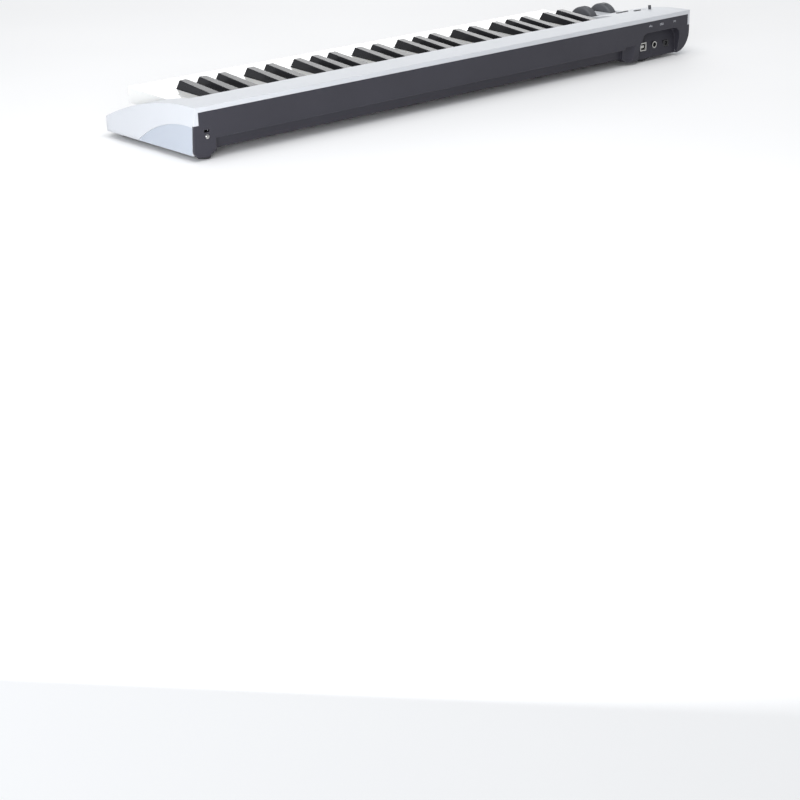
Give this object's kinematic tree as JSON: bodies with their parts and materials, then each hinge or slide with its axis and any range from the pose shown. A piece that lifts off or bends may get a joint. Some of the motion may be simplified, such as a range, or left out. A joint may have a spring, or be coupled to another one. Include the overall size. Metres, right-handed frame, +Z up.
{
  "type": "midi keyboard",
  "caption": "Controller keyboard from C to C with full-size sprung keys, pitch and modulation wheels, a volume slider, buttons and rear sockets.",
  "frame": {"origin": "middle of the case's footprint, on the surface that the feet stand on; the right end leans out about 7 mm, so the middle of the bounding box is 3.4 mm towards +X", "axes": "+X along the keys towards the high notes, +Y away from the player, +Z up"},
  "size_m": [0.8144, 0.18, 0.0616],
  "materials": {
    "silver_plastic": "fine satin grain, pale silver grey",
    "dark_plastic": "satin slate grey",
    "bed_plastic": "moulded grey",
    "board": "green solder mask with dark and metal sockets",
    "rubber": "matte",
    "control_plastic": "satin dark grey",
    "white_key": "gloss",
    "black_key": "gloss"
  },
  "bodies": {
    "case": {"top_case": "silver_plastic", "bottom_case": "dark_plastic", "key_bed": "bed_plastic", "main_board": "board", "rubber_feet": "rubber"},
    "pitch_wheel": {"pitch_wheel": "control_plastic"},
    "mod_wheel": {"mod_wheel": "control_plastic"},
    "volume_slider": {"volume_slider": "control_plastic"},
    "octave_down_button": {"octave_down_button": "control_plastic"},
    "octave_up_button": {"octave_up_button": "control_plastic"},
    "function_button": {"function_button": "control_plastic"},
    "key_c2": {"key_c2": "white_key"},
    "key_cs2": {"key_cs2": "black_key"},
    "key_d2": {"key_d2": "white_key"},
    "key_ds2": {"key_ds2": "black_key"},
    "key_e2": {"key_e2": "white_key"},
    "key_f2": {"key_f2": "white_key"},
    "key_fs2": {"key_fs2": "black_key"},
    "key_g2": {"key_g2": "white_key"},
    "key_gs2": {"key_gs2": "black_key"},
    "key_a2": {"key_a2": "white_key"},
    "key_as2": {"key_as2": "black_key"},
    "key_b2": {"key_b2": "white_key"},
    "key_c3": {"key_c3": "white_key"},
    "key_cs3": {"key_cs3": "black_key"},
    "key_d3": {"key_d3": "white_key"},
    "key_ds3": {"key_ds3": "black_key"},
    "key_e3": {"key_e3": "white_key"},
    "key_f3": {"key_f3": "white_key"},
    "key_fs3": {"key_fs3": "black_key"},
    "key_g3": {"key_g3": "white_key"},
    "key_gs3": {"key_gs3": "black_key"},
    "key_a3": {"key_a3": "white_key"},
    "key_as3": {"key_as3": "black_key"},
    "key_b3": {"key_b3": "white_key"},
    "key_c4": {"key_c4": "white_key"},
    "key_cs4": {"key_cs4": "black_key"},
    "key_d4": {"key_d4": "white_key"},
    "key_ds4": {"key_ds4": "black_key"},
    "key_e4": {"key_e4": "white_key"},
    "key_f4": {"key_f4": "white_key"},
    "key_fs4": {"key_fs4": "black_key"},
    "key_g4": {"key_g4": "white_key"},
    "key_gs4": {"key_gs4": "black_key"},
    "key_a4": {"key_a4": "white_key"},
    "key_as4": {"key_as4": "black_key"},
    "key_b4": {"key_b4": "white_key"},
    "key_c5": {"key_c5": "white_key"},
    "key_cs5": {"key_cs5": "black_key"},
    "key_d5": {"key_d5": "white_key"},
    "key_ds5": {"key_ds5": "black_key"},
    "key_e5": {"key_e5": "white_key"},
    "key_f5": {"key_f5": "white_key"},
    "key_fs5": {"key_fs5": "black_key"},
    "key_g5": {"key_g5": "white_key"},
    "key_gs5": {"key_gs5": "black_key"},
    "key_a5": {"key_a5": "white_key"},
    "key_as5": {"key_as5": "black_key"},
    "key_b5": {"key_b5": "white_key"},
    "key_c6": {"key_c6": "white_key"}
  },
  "joints": [
    {"name": "pitch_wheel_turn", "type": "hinge", "parent": "case", "child": "pitch_wheel", "pos_m": [-0.3352, -0.039, 0.0343], "axis": [1, 0, 0], "range_deg": [-30, 30], "stiffness_Nm_per_rad": 0.03},
    {"name": "mod_wheel_turn", "type": "hinge", "parent": "case", "child": "mod_wheel", "pos_m": [-0.3732, -0.039, 0.0343], "axis": [-1, 0, 0], "range_deg": [-60, 10]},
    {"name": "volume_slide", "type": "slide", "parent": "case", "child": "volume_slider", "axis": [0, 0.9899, 0.1418], "range_m": [-0.032, 0.002]},
    {"name": "octave_down_press", "type": "slide", "parent": "case", "child": "octave_down_button", "axis": [0, 0.157, -0.9876], "range_m": [0, 0.0008], "stiffness_N_per_m": 600, "springref_m": -0.0008},
    {"name": "octave_up_press", "type": "slide", "parent": "case", "child": "octave_up_button", "axis": [0, 0.157, -0.9876], "range_m": [0, 0.0008], "stiffness_N_per_m": 600, "springref_m": -0.0008},
    {"name": "function_press", "type": "slide", "parent": "case", "child": "function_button", "axis": [0, 0.1215, -0.9926], "range_m": [0, 0.0008], "stiffness_N_per_m": 600, "springref_m": -0.0008},
    {"name": "key_c2_press", "type": "hinge", "parent": "case", "child": "key_c2", "pos_m": [-0.2975, 0.072, 0.038], "axis": [1, 0, 0], "range_deg": [0, 3.5], "stiffness_Nm_per_rad": 0.6, "springref_deg": -6.88},
    {"name": "key_cs2_press", "type": "hinge", "parent": "case", "child": "key_cs2", "pos_m": [-0.28805, 0.072, 0.038], "axis": [1, 0, 0], "range_deg": [0, 3.5], "stiffness_Nm_per_rad": 0.6, "springref_deg": -6.88},
    {"name": "key_d2_press", "type": "hinge", "parent": "case", "child": "key_d2", "pos_m": [-0.274, 0.072, 0.038], "axis": [1, 0, 0], "range_deg": [0, 3.5], "stiffness_Nm_per_rad": 0.6, "springref_deg": -6.88},
    {"name": "key_ds2_press", "type": "hinge", "parent": "case", "child": "key_ds2", "pos_m": [-0.25995, 0.072, 0.038], "axis": [1, 0, 0], "range_deg": [0, 3.5], "stiffness_Nm_per_rad": 0.6, "springref_deg": -6.88},
    {"name": "key_e2_press", "type": "hinge", "parent": "case", "child": "key_e2", "pos_m": [-0.2505, 0.072, 0.038], "axis": [1, 0, 0], "range_deg": [0, 3.5], "stiffness_Nm_per_rad": 0.6, "springref_deg": -6.88},
    {"name": "key_f2_press", "type": "hinge", "parent": "case", "child": "key_f2", "pos_m": [-0.227, 0.072, 0.038], "axis": [1, 0, 0], "range_deg": [0, 3.5], "stiffness_Nm_per_rad": 0.6, "springref_deg": -6.88},
    {"name": "key_fs2_press", "type": "hinge", "parent": "case", "child": "key_fs2", "pos_m": [-0.21866, 0.072, 0.038], "axis": [1, 0, 0], "range_deg": [0, 3.5], "stiffness_Nm_per_rad": 0.6, "springref_deg": -6.88},
    {"name": "key_g2_press", "type": "hinge", "parent": "case", "child": "key_g2", "pos_m": [-0.2035, 0.072, 0.038], "axis": [1, 0, 0], "range_deg": [0, 3.5], "stiffness_Nm_per_rad": 0.6, "springref_deg": -6.88},
    {"name": "key_gs2_press", "type": "hinge", "parent": "case", "child": "key_gs2", "pos_m": [-0.19175, 0.072, 0.038], "axis": [1, 0, 0], "range_deg": [0, 3.5], "stiffness_Nm_per_rad": 0.6, "springref_deg": -6.88},
    {"name": "key_a2_press", "type": "hinge", "parent": "case", "child": "key_a2", "pos_m": [-0.18, 0.072, 0.038], "axis": [1, 0, 0], "range_deg": [0, 3.5], "stiffness_Nm_per_rad": 0.6, "springref_deg": -6.88},
    {"name": "key_as2_press", "type": "hinge", "parent": "case", "child": "key_as2", "pos_m": [-0.16484, 0.072, 0.038], "axis": [1, 0, 0], "range_deg": [0, 3.5], "stiffness_Nm_per_rad": 0.6, "springref_deg": -6.88},
    {"name": "key_b2_press", "type": "hinge", "parent": "case", "child": "key_b2", "pos_m": [-0.1565, 0.072, 0.038], "axis": [1, 0, 0], "range_deg": [0, 3.5], "stiffness_Nm_per_rad": 0.6, "springref_deg": -6.88},
    {"name": "key_c3_press", "type": "hinge", "parent": "case", "child": "key_c3", "pos_m": [-0.133, 0.072, 0.038], "axis": [1, 0, 0], "range_deg": [0, 3.5], "stiffness_Nm_per_rad": 0.6, "springref_deg": -6.88},
    {"name": "key_cs3_press", "type": "hinge", "parent": "case", "child": "key_cs3", "pos_m": [-0.12355, 0.072, 0.038], "axis": [1, 0, 0], "range_deg": [0, 3.5], "stiffness_Nm_per_rad": 0.6, "springref_deg": -6.88},
    {"name": "key_d3_press", "type": "hinge", "parent": "case", "child": "key_d3", "pos_m": [-0.1095, 0.072, 0.038], "axis": [1, 0, 0], "range_deg": [0, 3.5], "stiffness_Nm_per_rad": 0.6, "springref_deg": -6.88},
    {"name": "key_ds3_press", "type": "hinge", "parent": "case", "child": "key_ds3", "pos_m": [-0.09545, 0.072, 0.038], "axis": [1, 0, 0], "range_deg": [0, 3.5], "stiffness_Nm_per_rad": 0.6, "springref_deg": -6.88},
    {"name": "key_e3_press", "type": "hinge", "parent": "case", "child": "key_e3", "pos_m": [-0.086, 0.072, 0.038], "axis": [1, 0, 0], "range_deg": [0, 3.5], "stiffness_Nm_per_rad": 0.6, "springref_deg": -6.88},
    {"name": "key_f3_press", "type": "hinge", "parent": "case", "child": "key_f3", "pos_m": [-0.0625, 0.072, 0.038], "axis": [1, 0, 0], "range_deg": [0, 3.5], "stiffness_Nm_per_rad": 0.6, "springref_deg": -6.88},
    {"name": "key_fs3_press", "type": "hinge", "parent": "case", "child": "key_fs3", "pos_m": [-0.05416, 0.072, 0.038], "axis": [1, 0, 0], "range_deg": [0, 3.5], "stiffness_Nm_per_rad": 0.6, "springref_deg": -6.88},
    {"name": "key_g3_press", "type": "hinge", "parent": "case", "child": "key_g3", "pos_m": [-0.039, 0.072, 0.038], "axis": [1, 0, 0], "range_deg": [0, 3.5], "stiffness_Nm_per_rad": 0.6, "springref_deg": -6.88},
    {"name": "key_gs3_press", "type": "hinge", "parent": "case", "child": "key_gs3", "pos_m": [-0.02725, 0.072, 0.038], "axis": [1, 0, 0], "range_deg": [0, 3.5], "stiffness_Nm_per_rad": 0.6, "springref_deg": -6.88},
    {"name": "key_a3_press", "type": "hinge", "parent": "case", "child": "key_a3", "pos_m": [-0.0155, 0.072, 0.038], "axis": [1, 0, 0], "range_deg": [0, 3.5], "stiffness_Nm_per_rad": 0.6, "springref_deg": -6.88},
    {"name": "key_as3_press", "type": "hinge", "parent": "case", "child": "key_as3", "pos_m": [-0.00034, 0.072, 0.038], "axis": [1, 0, 0], "range_deg": [0, 3.5], "stiffness_Nm_per_rad": 0.6, "springref_deg": -6.88},
    {"name": "key_b3_press", "type": "hinge", "parent": "case", "child": "key_b3", "pos_m": [0.008, 0.072, 0.038], "axis": [1, 0, 0], "range_deg": [0, 3.5], "stiffness_Nm_per_rad": 0.6, "springref_deg": -6.88},
    {"name": "key_c4_press", "type": "hinge", "parent": "case", "child": "key_c4", "pos_m": [0.0315, 0.072, 0.038], "axis": [1, 0, 0], "range_deg": [0, 3.5], "stiffness_Nm_per_rad": 0.6, "springref_deg": -6.88},
    {"name": "key_cs4_press", "type": "hinge", "parent": "case", "child": "key_cs4", "pos_m": [0.04095, 0.072, 0.038], "axis": [1, 0, 0], "range_deg": [0, 3.5], "stiffness_Nm_per_rad": 0.6, "springref_deg": -6.88},
    {"name": "key_d4_press", "type": "hinge", "parent": "case", "child": "key_d4", "pos_m": [0.055, 0.072, 0.038], "axis": [1, 0, 0], "range_deg": [0, 3.5], "stiffness_Nm_per_rad": 0.6, "springref_deg": -6.88},
    {"name": "key_ds4_press", "type": "hinge", "parent": "case", "child": "key_ds4", "pos_m": [0.06905, 0.072, 0.038], "axis": [1, 0, 0], "range_deg": [0, 3.5], "stiffness_Nm_per_rad": 0.6, "springref_deg": -6.88},
    {"name": "key_e4_press", "type": "hinge", "parent": "case", "child": "key_e4", "pos_m": [0.0785, 0.072, 0.038], "axis": [1, 0, 0], "range_deg": [0, 3.5], "stiffness_Nm_per_rad": 0.6, "springref_deg": -6.88},
    {"name": "key_f4_press", "type": "hinge", "parent": "case", "child": "key_f4", "pos_m": [0.102, 0.072, 0.038], "axis": [1, 0, 0], "range_deg": [0, 3.5], "stiffness_Nm_per_rad": 0.6, "springref_deg": -6.88},
    {"name": "key_fs4_press", "type": "hinge", "parent": "case", "child": "key_fs4", "pos_m": [0.11034, 0.072, 0.038], "axis": [1, 0, 0], "range_deg": [0, 3.5], "stiffness_Nm_per_rad": 0.6, "springref_deg": -6.88},
    {"name": "key_g4_press", "type": "hinge", "parent": "case", "child": "key_g4", "pos_m": [0.1255, 0.072, 0.038], "axis": [1, 0, 0], "range_deg": [0, 3.5], "stiffness_Nm_per_rad": 0.6, "springref_deg": -6.88},
    {"name": "key_gs4_press", "type": "hinge", "parent": "case", "child": "key_gs4", "pos_m": [0.13725, 0.072, 0.038], "axis": [1, 0, 0], "range_deg": [0, 3.5], "stiffness_Nm_per_rad": 0.6, "springref_deg": -6.88},
    {"name": "key_a4_press", "type": "hinge", "parent": "case", "child": "key_a4", "pos_m": [0.149, 0.072, 0.038], "axis": [1, 0, 0], "range_deg": [0, 3.5], "stiffness_Nm_per_rad": 0.6, "springref_deg": -6.88},
    {"name": "key_as4_press", "type": "hinge", "parent": "case", "child": "key_as4", "pos_m": [0.16416, 0.072, 0.038], "axis": [1, 0, 0], "range_deg": [0, 3.5], "stiffness_Nm_per_rad": 0.6, "springref_deg": -6.88},
    {"name": "key_b4_press", "type": "hinge", "parent": "case", "child": "key_b4", "pos_m": [0.1725, 0.072, 0.038], "axis": [1, 0, 0], "range_deg": [0, 3.5], "stiffness_Nm_per_rad": 0.6, "springref_deg": -6.88},
    {"name": "key_c5_press", "type": "hinge", "parent": "case", "child": "key_c5", "pos_m": [0.196, 0.072, 0.038], "axis": [1, 0, 0], "range_deg": [0, 3.5], "stiffness_Nm_per_rad": 0.6, "springref_deg": -6.88},
    {"name": "key_cs5_press", "type": "hinge", "parent": "case", "child": "key_cs5", "pos_m": [0.20545, 0.072, 0.038], "axis": [1, 0, 0], "range_deg": [0, 3.5], "stiffness_Nm_per_rad": 0.6, "springref_deg": -6.88},
    {"name": "key_d5_press", "type": "hinge", "parent": "case", "child": "key_d5", "pos_m": [0.2195, 0.072, 0.038], "axis": [1, 0, 0], "range_deg": [0, 3.5], "stiffness_Nm_per_rad": 0.6, "springref_deg": -6.88},
    {"name": "key_ds5_press", "type": "hinge", "parent": "case", "child": "key_ds5", "pos_m": [0.23355, 0.072, 0.038], "axis": [1, 0, 0], "range_deg": [0, 3.5], "stiffness_Nm_per_rad": 0.6, "springref_deg": -6.88},
    {"name": "key_e5_press", "type": "hinge", "parent": "case", "child": "key_e5", "pos_m": [0.243, 0.072, 0.038], "axis": [1, 0, 0], "range_deg": [0, 3.5], "stiffness_Nm_per_rad": 0.6, "springref_deg": -6.88},
    {"name": "key_f5_press", "type": "hinge", "parent": "case", "child": "key_f5", "pos_m": [0.2665, 0.072, 0.038], "axis": [1, 0, 0], "range_deg": [0, 3.5], "stiffness_Nm_per_rad": 0.6, "springref_deg": -6.88},
    {"name": "key_fs5_press", "type": "hinge", "parent": "case", "child": "key_fs5", "pos_m": [0.27484, 0.072, 0.038], "axis": [1, 0, 0], "range_deg": [0, 3.5], "stiffness_Nm_per_rad": 0.6, "springref_deg": -6.88},
    {"name": "key_g5_press", "type": "hinge", "parent": "case", "child": "key_g5", "pos_m": [0.29, 0.072, 0.038], "axis": [1, 0, 0], "range_deg": [0, 3.5], "stiffness_Nm_per_rad": 0.6, "springref_deg": -6.88},
    {"name": "key_gs5_press", "type": "hinge", "parent": "case", "child": "key_gs5", "pos_m": [0.30175, 0.072, 0.038], "axis": [1, 0, 0], "range_deg": [0, 3.5], "stiffness_Nm_per_rad": 0.6, "springref_deg": -6.88},
    {"name": "key_a5_press", "type": "hinge", "parent": "case", "child": "key_a5", "pos_m": [0.3135, 0.072, 0.038], "axis": [1, 0, 0], "range_deg": [0, 3.5], "stiffness_Nm_per_rad": 0.6, "springref_deg": -6.88},
    {"name": "key_as5_press", "type": "hinge", "parent": "case", "child": "key_as5", "pos_m": [0.32866, 0.072, 0.038], "axis": [1, 0, 0], "range_deg": [0, 3.5], "stiffness_Nm_per_rad": 0.6, "springref_deg": -6.88},
    {"name": "key_b5_press", "type": "hinge", "parent": "case", "child": "key_b5", "pos_m": [0.337, 0.072, 0.038], "axis": [1, 0, 0], "range_deg": [0, 3.5], "stiffness_Nm_per_rad": 0.6, "springref_deg": -6.88},
    {"name": "key_c6_press", "type": "hinge", "parent": "case", "child": "key_c6", "pos_m": [0.3605, 0.072, 0.038], "axis": [1, 0, 0], "range_deg": [0, 3.5], "stiffness_Nm_per_rad": 0.6, "springref_deg": -6.88}
  ]
}
